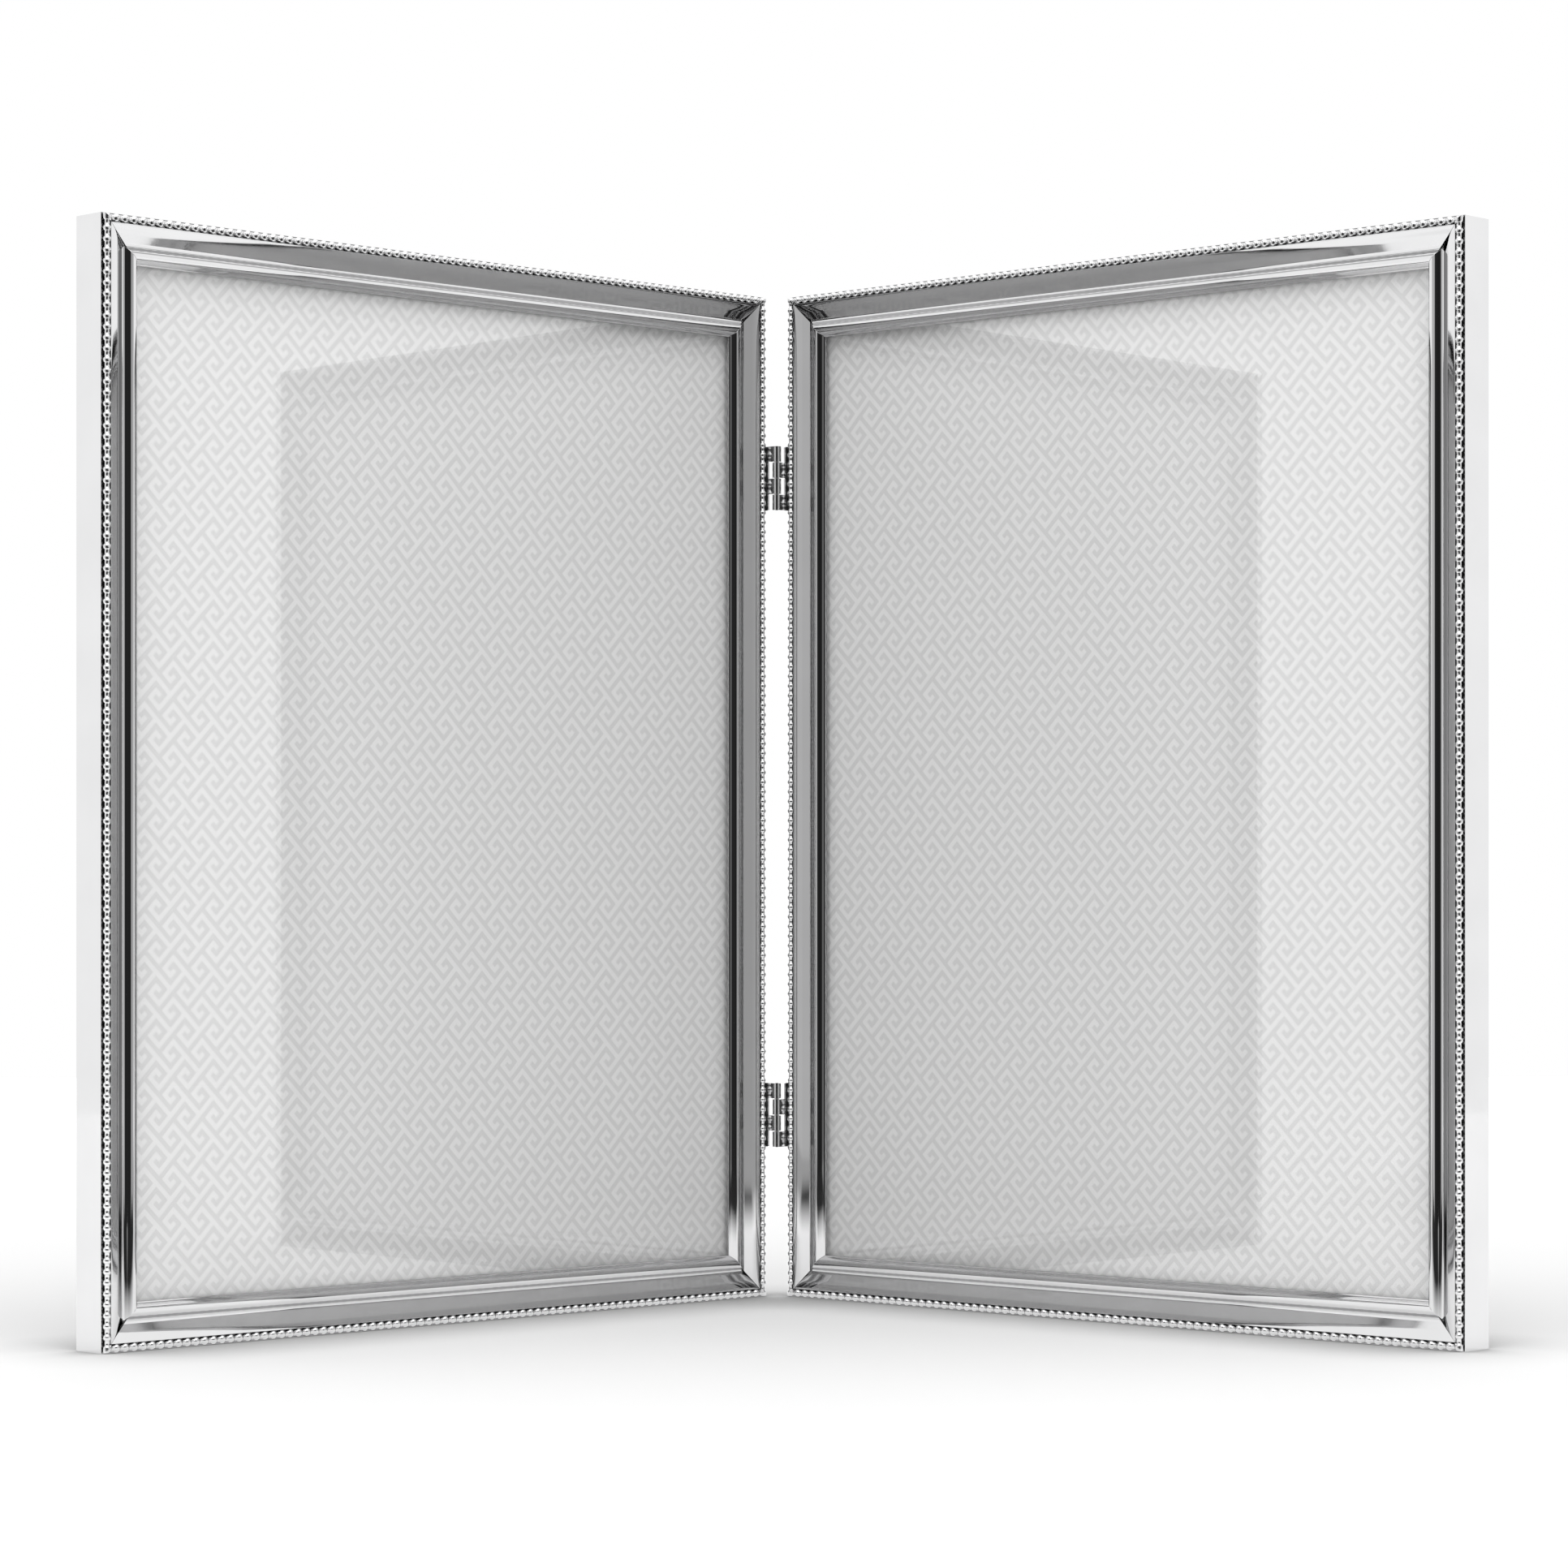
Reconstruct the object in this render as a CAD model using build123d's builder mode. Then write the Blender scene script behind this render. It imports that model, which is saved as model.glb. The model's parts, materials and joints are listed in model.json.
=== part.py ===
# Hinged double photo frame: two equal portrait leaves joined by two small
# pin hinges, standing in a V that opens towards the viewer (-Y).
# Millimetres, +Z up. The origin is under the middle of the whole frame, on
# the surface that it stands on. The hinge axis is vertical, at x = 0.
#
# Every leaf is drawn in its own leaf frame: x along the leaf from left to
# right as seen from the front, y up, z forward out of the leaf. Its origin is
# the lower left corner of the side wall's front edge.
#
# A length of moulding is drawn in a rail frame: x inward from the side wall,
# y forward, z along the length, which goes anticlockwise round the leaf.

from build123d import *
import os
from math import atan2, cos, pi, radians, sin, sqrt

os.makedirs("parts", exist_ok=True)

# Standing pose
open_angle = 92.6          # degrees between the two leaves

# What a leaf holds
photo_width = 203.2
photo_height = 254.0
glass_thickness = 2.0
insert_thickness = 0.4
board_thickness = 3.0
velvet_thickness = 0.45
stack_gap = 0.05           # between the sheets, and in front of the glass
rebate_play = 0.35         # beside the sheets
sheet_inset = 6.35         # from the side wall's outer face to the sheets

# Moulding, from the side wall inward
wall_depth = 9.8
wall_thickness = 1.0
wall_edge_round = 0.12
wall_lip_width = 0.16      # edge of the wall, beside the beads' channel
face_thickness = 0.8
bead_radius = 0.98
bead_neck_radius = 0.48
bead_pitch = 2.57
bead_setback = 0.2         # bead to the plane of the side wall
bead_rise = 0.78           # bead centre in front of the wall's front edge
bead_play = 0.05           # bead to its channel
rim_height = 1.08
rim_width = 0.08
face_width = 4.12
face_bulge = 0.15
valley_depth = 0.71
trough_width = 1.35        # hollow rise from the valley to the ridge
trough_rise = 0.32
trough_hollow = 0.25
ridge_width = 2.55
ridge_rise = 1.05          # ridge over the valley
ridge_fall = 0.36          # from the ridge to the start of the cove
cove_width = 0.85
cove_drop = 1.21
cove_bulge = 0.03
lip_width = 0.28
lip_drop = 0.33
lip_round = 0.03
lip_edge = 0.74
lip_seat_width = 1.3       # flat strip that the glass lies against

# Wooden core inside the moulding
core_play = 0.05           # beside the side wall
core_clearance = 0.12      # behind the pressed face

# Hinges
hinge_end_distance = 48.5  # hinge centre from the leaf's top and bottom
knuckle_height = 4.3
knuckle_count = 4
knuckle_gap = 0.2
knuckle_radius = 1.2
axis_forward = 3.8         # hinge axis in front of the side wall's front edge
plate_thickness = 0.5
plate_reach_back = 6.0     # plate behind the side wall's front edge
notch_reach = 1.8          # plate in front of that edge, beside a foreign knuckle
plate_round = 0.35         # corners of the plate and of its notches
pin_radius = 0.65
pin_play = 0.05
pin_bevel = 0.2

# Hinge screws
hinge_screw_pitch = 10.4
hinge_screw_back = 3.2     # behind the side wall's front edge
hinge_screw_radius = 0.75
hinge_screw_length = 4.4
hinge_screw_slot_width = 0.35
hinge_screw_slot_depth = 0.25
screw_play = 0.05          # in the plate and in the wall
thread_play = 0.02         # in the wood

# Turn buttons on the back
button_thickness = 0.7
button_bevel = 0.18
button_hub_radius = 2.3
button_nose_radius = 1.7
button_reach = 7.4         # from the pivot to the centre of the nose
button_gap = 0.1           # behind the core, and under the screw's head
button_screw_radius = 0.9
button_screw_play = 0.06
button_screw_head_radius = 1.8
button_screw_head_height = 0.5
button_screw_depth = 4.0   # in the wood
button_screw_slot_width = 0.5
button_screw_slot_depth = 0.2

# Proportions of the hidden inner side of the pressed face
channel_heel_share = 0.6

# Rail section, worked out from the sizes above
bead_inset = bead_setback + bead_radius
channel_radius = bead_radius + bead_play
rim_start = bead_inset + sqrt(channel_radius**2 - (rim_height - bead_rise) ** 2)
rim_end = rim_start + rim_width
valley = rim_end + face_width
ridge_start = valley + trough_width
ridge_end = ridge_start + ridge_width
cove_end = ridge_end + cove_width
moulding_width = cove_end + lip_width

ridge_start_level = trough_rise - valley_depth
ridge_top_level = ridge_rise - valley_depth
ridge_end_level = ridge_top_level - ridge_fall
cove_end_level = ridge_end_level - cove_drop
lip_level = cove_end_level - lip_drop
seat_level = lip_level - lip_edge
channel_floor = bead_rise - channel_radius
channel_under = channel_floor - face_thickness

# Levels of what lies behind the lip, forward positive
glass_level = seat_level - stack_gap
insert_level = glass_level - glass_thickness - stack_gap
board_level = insert_level - insert_thickness - stack_gap
velvet_level = board_level - board_thickness
core_back_level = velvet_level - velvet_thickness
button_level = core_back_level - button_gap

# Countersunk heads end flush with both faces of the plate
hinge_screw_head_radius = hinge_screw_radius + plate_thickness
countersink_angle = 90

# Leaf outline
leaf_width = photo_width + 2 * sheet_inset
leaf_height = photo_height + 2 * sheet_inset
core_outer = wall_thickness + core_play
core_inner = sheet_inset - rebate_play
pivot_inset = (core_outer + core_inner) / 2     # the turn buttons pivot mid core


def face_under(inset):
    """Level of the pressed face's hidden side, between the rim and the valley."""
    slope = (rim_height + valley_depth) / face_width
    return rim_height - slope * (inset - rim_end) - face_thickness


core_front_level = min(channel_under, face_under(core_inner)) - core_clearance

# Place of the hinge axis, so that the frame stands over its own middle
half_angle = radians(open_angle / 2)
along = Vector(sin(half_angle), cos(half_angle))
ahead = Vector(cos(half_angle), sin(half_angle))
axis_to_wall = knuckle_radius
axis_to_edge = axis_to_wall + leaf_width
wall_back_y = (axis_forward + wall_depth) * ahead.Y - axis_to_wall * along.Y
bead_front_y = (axis_to_edge - bead_inset) * along.Y + (bead_rise - axis_forward) * ahead.Y + bead_radius
axis_y = (bead_front_y - wall_back_y) / 2

hinge_levels = {"lower": hinge_end_distance, "upper": leaf_height - hinge_end_distance}
hinge_height = knuckle_height * knuckle_count


def leaf_plane(side):
    """Leaf frame of the left or the right leaf."""
    hand = 1 if side == "left" else -1
    x_dir = Vector(along.X, hand * along.Y)
    z_dir = Vector(hand * ahead.X, -ahead.Y)
    axis = Vector(0, axis_y)
    start = -axis_to_edge if side == "left" else axis_to_wall
    return Plane(origin=axis + x_dir * start - z_dir * axis_forward, x_dir=x_dir, z_dir=z_dir)


def rail_planes(side):
    """Rail frame and length of each moulding, by its place on the leaf."""
    leaf = leaf_plane(side)
    left_name, right_name = ("outer", "hinge") if side == "left" else ("hinge", "outer")
    rails = {}
    for place, corner, x_way, z_way, length in (
        ("bottom", (0, 0), (0, 1), (1, 0), leaf_width),
        (right_name, (leaf_width, 0), (-1, 0), (0, 1), leaf_height),
        ("top", (leaf_width, leaf_height), (0, -1), (-1, 0), leaf_width),
        (left_name, (0, leaf_height), (1, 0), (0, -1), leaf_height),
    ):
        x_dir = leaf.x_dir * x_way[0] + leaf.y_dir * x_way[1]
        z_dir = leaf.x_dir * z_way[0] + leaf.y_dir * z_way[1]
        rails[place] = (Plane(origin=leaf.from_local_coords(corner), x_dir=x_dir, z_dir=z_dir), length)
    return rails


def mitre_planes(rail, length):
    """The two mitre cuts of a rail, each with its normal into the rail."""
    near = Plane(origin=rail.origin, z_dir=rail.z_dir - rail.x_dir)
    far = Plane(origin=rail.origin + rail.z_dir * length, z_dir=-rail.z_dir - rail.x_dir)
    return near, far


def point_on_arc(centre, radius, angle):
    """Point at an angle in radians on a circle in a sketch."""
    return (centre[0] + radius * cos(angle), centre[1] + radius * sin(angle))


def moulding_section(rail):
    """Sketch of the pressed moulding's section, on its rail frame."""
    centre = (bead_inset, bead_rise)
    end_angle = atan2(rim_height - bead_rise, rim_start - bead_inset)
    heel = bead_inset + channel_heel_share * channel_radius
    bend = rim_end + face_thickness
    edge_middle = wall_edge_round * (1 - cos(pi / 4))
    ridge_middle = (ridge_start + ridge_end) / 2
    with BuildSketch(rail) as section:
        with BuildLine():
            Line((0, -wall_depth), (0, -wall_edge_round))
            ThreePointArc((0, -wall_edge_round), (edge_middle, -edge_middle), (wall_edge_round, 0))
            Polyline(
                (wall_edge_round, 0),
                (wall_lip_width, 0),
                (wall_lip_width, channel_floor),
                (bead_inset, channel_floor),
            )
            ThreePointArc(
                (bead_inset, channel_floor),
                point_on_arc(centre, channel_radius, (end_angle - pi / 2) / 2),
                (rim_start, rim_height),
            )
            Line((rim_start, rim_height), (rim_end, rim_height))
            SagittaArc((rim_end, rim_height), (valley, -valley_depth), face_bulge)
            SagittaArc((valley, -valley_depth), (ridge_start, ridge_start_level), -trough_hollow)
            ThreePointArc(
                (ridge_start, ridge_start_level),
                (ridge_middle, ridge_top_level),
                (ridge_end, ridge_end_level),
            )
            SagittaArc((ridge_end, ridge_end_level), (cove_end, cove_end_level), cove_bulge)
            SagittaArc((cove_end, cove_end_level), (moulding_width, lip_level), lip_round)
            Polyline(
                (moulding_width, lip_level),
                (moulding_width, seat_level),
                (moulding_width - lip_seat_width, seat_level),
                (ridge_end, ridge_end_level - face_thickness),
                (ridge_middle, ridge_top_level - face_thickness),
                (ridge_start, ridge_start_level - face_thickness),
                (valley, -valley_depth - face_thickness),
                (bend, face_under(bend)),
                (heel, channel_under),
                (wall_thickness, channel_under),
                (wall_thickness, -wall_depth),
                (0, -wall_depth),
            )
        make_face()
    return section.sketch


def hinge_screw_planes(side, hinges=("lower", "upper")):
    """Plane on the outer face of the plates at each screw, normal out of the wall."""
    leaf = leaf_plane(side)
    outward = leaf.x_dir if side == "left" else -leaf.x_dir
    wall_x = leaf_width if side == "left" else 0
    planes = []
    for hinge in hinges:
        for way in (-1, 1):
            level = hinge_levels[hinge] + way * hinge_screw_pitch / 2
            spot = leaf.from_local_coords((wall_x, level, -hinge_screw_back))
            planes.append(Plane(origin=spot + outward * plate_thickness, x_dir=leaf.y_dir, z_dir=outward))
    return planes


def button_planes(side):
    """Plane at each turn button's pivot: x inward to the board, z out of the back."""
    pivots = {}
    for place, (rail, length) in rail_planes(side).items():
        spot = rail.from_local_coords((pivot_inset, button_level, length / 2))
        pivots[place] = Plane(origin=spot, x_dir=rail.x_dir, z_dir=-rail.y_dir)
    return pivots


def finish(part, label):
    """Label a piece and write its file."""
    part.label = label
    export_step(part, f"parts/{label}.step")


# Pressed moulding, four mitred lengths to a leaf
def make_rail(side, place, rail, length):
    section = moulding_section(rail)
    with BuildPart() as moulding:
        extrude(section, amount=length)
        for cut in mitre_planes(rail, length):
            split(bisect_by=cut, keep=Keep.TOP)
        if place == "hinge":
            for screw in hinge_screw_planes(side):
                with BuildSketch(screw):
                    Circle(hinge_screw_radius + screw_play)
                extrude(amount=-plate_thickness - core_outer, mode=Mode.SUBTRACT)
    finish(moulding.part, f"{side}_{place}_moulding")


# Beaded border: balls on a thin neck, one half ball at each mitre. A wire of
# each length is made once, on a rail frame at the origin
def bead_wire(length):
    rail = Plane.XY
    span = length - 2 * bead_inset
    steps = round(span / bead_pitch)
    pitch = span / steps
    half_chord = sqrt(bead_radius**2 - bead_neck_radius**2)
    quarter = bead_radius * cos(pi / 4)
    centre_line = Plane(
        origin=rail.from_local_coords((bead_inset, bead_rise, bead_inset)),
        x_dir=rail.z_dir,
        z_dir=-rail.x_dir,
    )
    with BuildPart() as wire:
        with BuildSketch(centre_line):
            with BuildLine():
                ThreePointArc((-bead_radius, 0), (-quarter, quarter), (0, bead_radius))
                ThreePointArc((0, bead_radius), (quarter, quarter), (half_chord, bead_neck_radius))
                for step in range(1, steps):
                    middle = step * pitch
                    Line(
                        (middle - pitch + half_chord, bead_neck_radius),
                        (middle - half_chord, bead_neck_radius),
                    )
                    ThreePointArc(
                        (middle - half_chord, bead_neck_radius),
                        (middle, bead_radius),
                        (middle + half_chord, bead_neck_radius),
                    )
                Line(
                    (span - pitch + half_chord, bead_neck_radius),
                    (span - half_chord, bead_neck_radius),
                )
                ThreePointArc(
                    (span - half_chord, bead_neck_radius),
                    (span - quarter, quarter),
                    (span, bead_radius),
                )
                ThreePointArc((span, bead_radius), (span + quarter, quarter), (span + bead_radius, 0))
                Line((span + bead_radius, 0), (-bead_radius, 0))
            make_face()
        revolve(axis=Axis(centre_line.origin, centre_line.x_dir))
        for cut in mitre_planes(rail, length):
            split(bisect_by=cut, keep=Keep.TOP)
    return wire.part


bead_wires = {length: bead_wire(length) for length in (leaf_width, leaf_height)}


def make_bead_wire(side, place, rail, length):
    with BuildPart() as wire:
        with Locations(rail.location):
            add(bead_wires[length], clean=False)
    finish(wire.part, f"{side}_{place}_bead_wire")


# Wooden core, four mitred strips to a leaf
def make_core_strip(side, place, rail, length):
    depth = core_front_level - core_back_level
    with BuildPart() as strip:
        with BuildSketch(rail):
            with Locations((pivot_inset, (core_front_level + core_back_level) / 2)):
                Rectangle(core_inner - core_outer, depth)
        extrude(amount=length)
        for cut in mitre_planes(rail, length):
            split(bisect_by=cut, keep=Keep.TOP)
        if place == "hinge":
            for screw in hinge_screw_planes(side):
                with BuildSketch(screw):
                    Circle(hinge_screw_radius + thread_play)
                extrude(amount=-hinge_screw_length - thread_play, mode=Mode.SUBTRACT)
        with BuildSketch(button_planes(side)[place]):
            Circle(button_screw_radius + thread_play)
        extrude(amount=-button_gap - button_screw_depth - thread_play, mode=Mode.SUBTRACT)
    finish(strip.part, f"{side}_{place}_core_strip")


# Glass, printed insert, backing board and its velvet: plain sheets behind the lip
def make_sheet(side, name, level, thickness):
    leaf = leaf_plane(side)
    with BuildPart() as sheet:
        with BuildSketch(leaf.offset(level)):
            with Locations((leaf_width / 2, leaf_height / 2)):
                Rectangle(photo_width, photo_height)
        extrude(amount=-thickness)
    finish(sheet.part, f"{side}_{name}")


# Turn button: a flat tongue on a round hub
def make_turn_button(side, place, pivot):
    with BuildPart() as button:
        with BuildSketch(pivot):
            Circle(button_hub_radius)
            with Locations((button_reach, 0)):
                Circle(button_nose_radius)
            make_hull()
            Circle(button_screw_radius + button_screw_play, mode=Mode.SUBTRACT)
        extrude(amount=button_thickness)
        rims = button.edges().filter_by(GeomType.CIRCLE, reverse=True)
        chamfer(rims.group_by(SortBy.LENGTH)[-1], length=button_bevel)
    finish(button.part, f"{side}_{place}_turn_button")


# Slotted round-head screws that the buttons turn on, as one group
def make_button_screws(side):
    head_offset = button_thickness + button_gap
    shank = button_gap + button_screw_depth
    with BuildPart() as screws:
        for pivot in button_planes(side).values():
            with BuildSketch(pivot.offset(-shank)):
                Circle(button_screw_radius)
            extrude(amount=shank + head_offset)
            with BuildSketch(pivot.offset(head_offset)):
                Circle(button_screw_head_radius)
            extrude(amount=button_screw_head_height)
            with BuildSketch(pivot.offset(head_offset + button_screw_head_height)):
                Rectangle(button_screw_slot_width, 2 * button_screw_head_radius)
            extrude(amount=-button_screw_slot_depth, mode=Mode.SUBTRACT)
    finish(screws.part, f"{side}_button_screws")


# Hinge plate with its two rolled knuckles. Plan frame: x from the axis along
# the leaf, y forward on the left leaf and backward on the right leaf
def make_hinge_plate(side, hinge, base):
    leaf = leaf_plane(side)
    hand = 1 if side == "left" else -1
    x_dir = -leaf.x_dir * hand
    plan = Plane(origin=(0, axis_y, base), x_dir=x_dir, z_dir=(0, 0, 1))
    plate_middle = axis_to_wall - plate_thickness / 2
    back_y = -axis_forward - plate_reach_back
    notch_y = -axis_forward + notch_reach
    first = knuckle_count - 1 if side == "left" else knuckle_count - 2
    with BuildPart() as plate:
        with BuildSketch(plan.offset(knuckle_gap / 2)):
            with Locations((plate_middle, hand * (back_y + notch_y) / 2)):
                Rectangle(plate_thickness, notch_y - back_y)
        extrude(amount=hinge_height - knuckle_gap)
        for turn in range(first, -1, -2):
            with BuildSketch(plan.offset(turn * knuckle_height + knuckle_gap / 2)):
                Circle(knuckle_radius)
                with Locations((plate_middle, hand * notch_y / 2)):
                    Rectangle(plate_thickness, -notch_y)
                Circle(pin_radius + pin_play, mode=Mode.SUBTRACT)
            extrude(amount=knuckle_height - knuckle_gap)
        fillet(plate.edges().filter_by(Axis(plan.origin, plan.x_dir)), radius=plate_round)
        with Locations(*hinge_screw_planes(side, (hinge,))):
            CounterSinkHole(
                radius=hinge_screw_radius + screw_play,
                counter_sink_radius=hinge_screw_head_radius + screw_play,
                counter_sink_angle=countersink_angle,
            )
    finish(plate.part, f"{side}_{hinge}_hinge_plate")


# Countersunk hinge screws, as one group
def make_hinge_screws(side):
    with BuildPart() as screws:
        for spot in hinge_screw_planes(side):
            with BuildSketch(spot.offset(-hinge_screw_length)):
                Circle(hinge_screw_radius)
            extrude(amount=hinge_screw_length)
            with BuildSketch(Plane(origin=spot.origin, x_dir=spot.z_dir, z_dir=spot.x_dir)):
                with BuildLine():
                    Polyline(
                        (0, 0),
                        (0, hinge_screw_head_radius),
                        (-plate_thickness, hinge_screw_radius),
                        (-plate_thickness, 0),
                        (0, 0),
                    )
                make_face()
            revolve(axis=Axis(spot.origin, spot.z_dir))
            with BuildSketch(spot):
                Rectangle(hinge_screw_slot_width, 2 * hinge_screw_head_radius)
            extrude(amount=-hinge_screw_slot_depth, mode=Mode.SUBTRACT)
    finish(screws.part, f"{side}_hinge_screws")


# Hinge pin through all the knuckles, bevelled at each end
def make_pin(hinge, base):
    with BuildPart() as pin:
        with BuildSketch(Plane(origin=(0, axis_y, base), z_dir=(0, 0, 1))):
            Circle(pin_radius)
        extrude(amount=hinge_height)
        chamfer(pin.edges().filter_by(GeomType.CIRCLE), length=pin_bevel)
    finish(pin.part, f"{hinge}_hinge_pin")


for side in ("left", "right"):
    for place, (rail, length) in rail_planes(side).items():
        make_rail(side, place, rail, length)
        make_bead_wire(side, place, rail, length)
        make_core_strip(side, place, rail, length)
    make_sheet(side, "glass", glass_level, glass_thickness)
    make_sheet(side, "photo_insert", insert_level, insert_thickness)
    make_sheet(side, "backing_board", board_level, board_thickness)
    make_sheet(side, "velvet_back", velvet_level, velvet_thickness)
    for place, pivot in button_planes(side).items():
        make_turn_button(side, place, pivot)
    make_button_screws(side)
    make_hinge_screws(side)
    for hinge, level in hinge_levels.items():
        make_hinge_plate(side, hinge, level - hinge_height / 2)

for hinge, level in hinge_levels.items():
    make_pin(hinge, level - hinge_height / 2)
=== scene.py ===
import json
from math import acos, atan2, cos, degrees, pi, radians, sin, sqrt

import bpy
from mathutils import Matrix, Vector


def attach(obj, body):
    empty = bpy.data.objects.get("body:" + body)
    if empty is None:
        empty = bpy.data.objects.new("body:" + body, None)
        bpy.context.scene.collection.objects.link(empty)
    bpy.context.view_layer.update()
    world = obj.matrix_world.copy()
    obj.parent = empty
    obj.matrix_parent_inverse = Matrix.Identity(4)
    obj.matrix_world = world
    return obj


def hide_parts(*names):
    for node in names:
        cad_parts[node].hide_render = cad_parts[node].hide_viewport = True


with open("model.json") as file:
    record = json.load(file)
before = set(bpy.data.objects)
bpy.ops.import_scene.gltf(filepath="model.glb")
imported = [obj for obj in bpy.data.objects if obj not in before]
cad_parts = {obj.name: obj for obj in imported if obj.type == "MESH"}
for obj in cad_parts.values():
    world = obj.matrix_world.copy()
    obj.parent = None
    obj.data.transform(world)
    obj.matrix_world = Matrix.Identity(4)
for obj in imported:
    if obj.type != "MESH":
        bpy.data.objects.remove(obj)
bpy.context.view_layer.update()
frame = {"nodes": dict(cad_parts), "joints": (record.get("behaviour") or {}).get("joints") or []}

# Hinged double photo frame: two silver leaves in a V, in metres.
# Leaf frame: x along the leaf from left to right, y up, z forward out of it.
# Rail frame: x inward from the side wall, y forward, z along the moulding.
MM = 0.001
SIDES = ("left", "right")

# Driving sizes, as in the solids but for three: here the beads' neck is thicker, the
# rim is lower, and the face runs in three stretches, where the solids have one arc
OPEN_ANGLE = 92.6
LEAF_WIDTH = 215.9 * MM
LEAF_HEIGHT = 266.7 * MM
AXIS_TO_WALL = 1.2 * MM
AXIS_FORWARD = 3.8 * MM
WALL_DEPTH = 9.8 * MM
WALL_THICKNESS = 1.0 * MM
WALL_LIP_WIDTH = 0.16 * MM
FACE_THICKNESS = 0.8 * MM
BEAD_RADIUS = 0.98 * MM
BEAD_NECK_RADIUS = 0.62 * MM
BEAD_PITCH = 2.57 * MM
BEAD_SETBACK = 0.2 * MM
BEAD_RISE = 0.78 * MM
BEAD_PLAY = 0.05 * MM
RIM_HEIGHT = 0.96 * MM
RIM_WIDTH = 0.08 * MM
SHOULDER_WIDTH = 0.5 * MM      # the face starts nearly level
SHOULDER_DROP = 0.1 * MM
SHOULDER_BULGE = 0.012 * MM
BULGE_WIDTH = 1.95 * MM        # then it steepens
BULGE_DROP = 0.76 * MM
FACE_BULGE = 0.045 * MM
FLANK_WIDTH = 1.67 * MM        # and runs straight to the valley
VALLEY_DEPTH = 0.71 * MM
TROUGH_WIDTH = 1.35 * MM
TROUGH_RISE = 0.32 * MM
TROUGH_HOLLOW = 0.25 * MM
RIDGE_WIDTH = 2.55 * MM
RIDGE_RISE = 1.05 * MM
RIDGE_FALL = 0.36 * MM
COVE_WIDTH = 0.85 * MM
COVE_DROP = 1.21 * MM
COVE_BULGE = 0.03 * MM
LIP_WIDTH = 0.28 * MM
LIP_DROP = 0.33 * MM
LIP_ROUND = 0.03 * MM
LIP_EDGE = 0.74 * MM
LIP_SEAT_WIDTH = 1.3 * MM
CORNER_ROUND = 0.09 * MM       # pressed corners, too small for the solids
MITRE_ROUND = 0.07 * MM        # edge of each mitred end

# Share of the bead channel's radius
CHANNEL_HEEL_SHARE = 0.6

# Rings at a mitred end, in shares of MITRE_ROUND: distance from the mitre plane,
# and how far the surface draws in there
MITRE_RINGS = ((0, 1), (0.35, 0.35), (1.2, 0), (4, 0))

# Degrees: an outline's turns are rounded from the first on, and the bead wire's
# edges are shaded sharp above the second
KEPT_TURN = 20
SHARP_TURN = 50

# Points on curved stretches
ARC_STEPS = 14
ROUND_STEPS = 4
BEAD_SIDES = 20
BEAD_RINGS = 10

# Section levels, worked out from the sizes above
BEAD_INSET = BEAD_SETBACK + BEAD_RADIUS
CHANNEL_RADIUS = BEAD_RADIUS + BEAD_PLAY
RIM_START = BEAD_INSET + sqrt(CHANNEL_RADIUS**2 - (RIM_HEIGHT - BEAD_RISE) ** 2)
RIM_END = RIM_START + RIM_WIDTH
FACE_WIDTH = SHOULDER_WIDTH + BULGE_WIDTH + FLANK_WIDTH
VALLEY = RIM_END + FACE_WIDTH
RIDGE_START = VALLEY + TROUGH_WIDTH
RIDGE_END = RIDGE_START + RIDGE_WIDTH
COVE_END = RIDGE_END + COVE_WIDTH
MOULDING_WIDTH = COVE_END + LIP_WIDTH
RIDGE_START_LEVEL = TROUGH_RISE - VALLEY_DEPTH
RIDGE_TOP_LEVEL = RIDGE_RISE - VALLEY_DEPTH
RIDGE_END_LEVEL = RIDGE_TOP_LEVEL - RIDGE_FALL
COVE_END_LEVEL = RIDGE_END_LEVEL - COVE_DROP
LIP_LEVEL = COVE_END_LEVEL - LIP_DROP
SEAT_LEVEL = LIP_LEVEL - LIP_EDGE
CHANNEL_FLOOR = BEAD_RISE - CHANNEL_RADIUS
CHANNEL_UNDER = CHANNEL_FLOOR - FACE_THICKNESS

HINGE = next(j for j in frame["joints"] if j["name"] == "leaf_hinge")
AXIS = Vector((HINGE["pos_m"][0], HINGE["pos_m"][1], 0))


# Frames of the leaves and of their mouldings
def leaf_frame(side):
    half = radians(OPEN_ANGLE / 2)
    hand = 1 if side == "left" else -1
    x_dir = Vector((sin(half), hand * cos(half), 0))
    z_dir = Vector((hand * cos(half), -sin(half), 0))
    start = -(AXIS_TO_WALL + LEAF_WIDTH) if side == "left" else AXIS_TO_WALL
    origin = AXIS + x_dir * start - z_dir * AXIS_FORWARD
    return origin, x_dir, Vector((0, 0, 1)), z_dir


def matrix_of(origin, x_dir, y_dir, z_dir):
    rows = [[x_dir[i], y_dir[i], z_dir[i], origin[i]] for i in range(3)]
    return Matrix(rows + [[0, 0, 0, 1]])


def rail_frames(side):
    """Matrix and length of each moulding's rail frame, by its place."""
    origin, x_dir, y_dir, z_dir = leaf_frame(side)
    left_name, right_name = ("outer", "hinge") if side == "left" else ("hinge", "outer")
    right = origin + x_dir * LEAF_WIDTH
    rise = y_dir * LEAF_HEIGHT
    return {
        "bottom": (matrix_of(origin, y_dir, z_dir, x_dir), LEAF_WIDTH),
        right_name: (matrix_of(right, -x_dir, z_dir, y_dir), LEAF_HEIGHT),
        "top": (matrix_of(right + rise, -y_dir, z_dir, -x_dir), LEAF_WIDTH),
        left_name: (matrix_of(origin + rise, x_dir, z_dir, -y_dir), LEAF_HEIGHT),
    }


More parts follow.
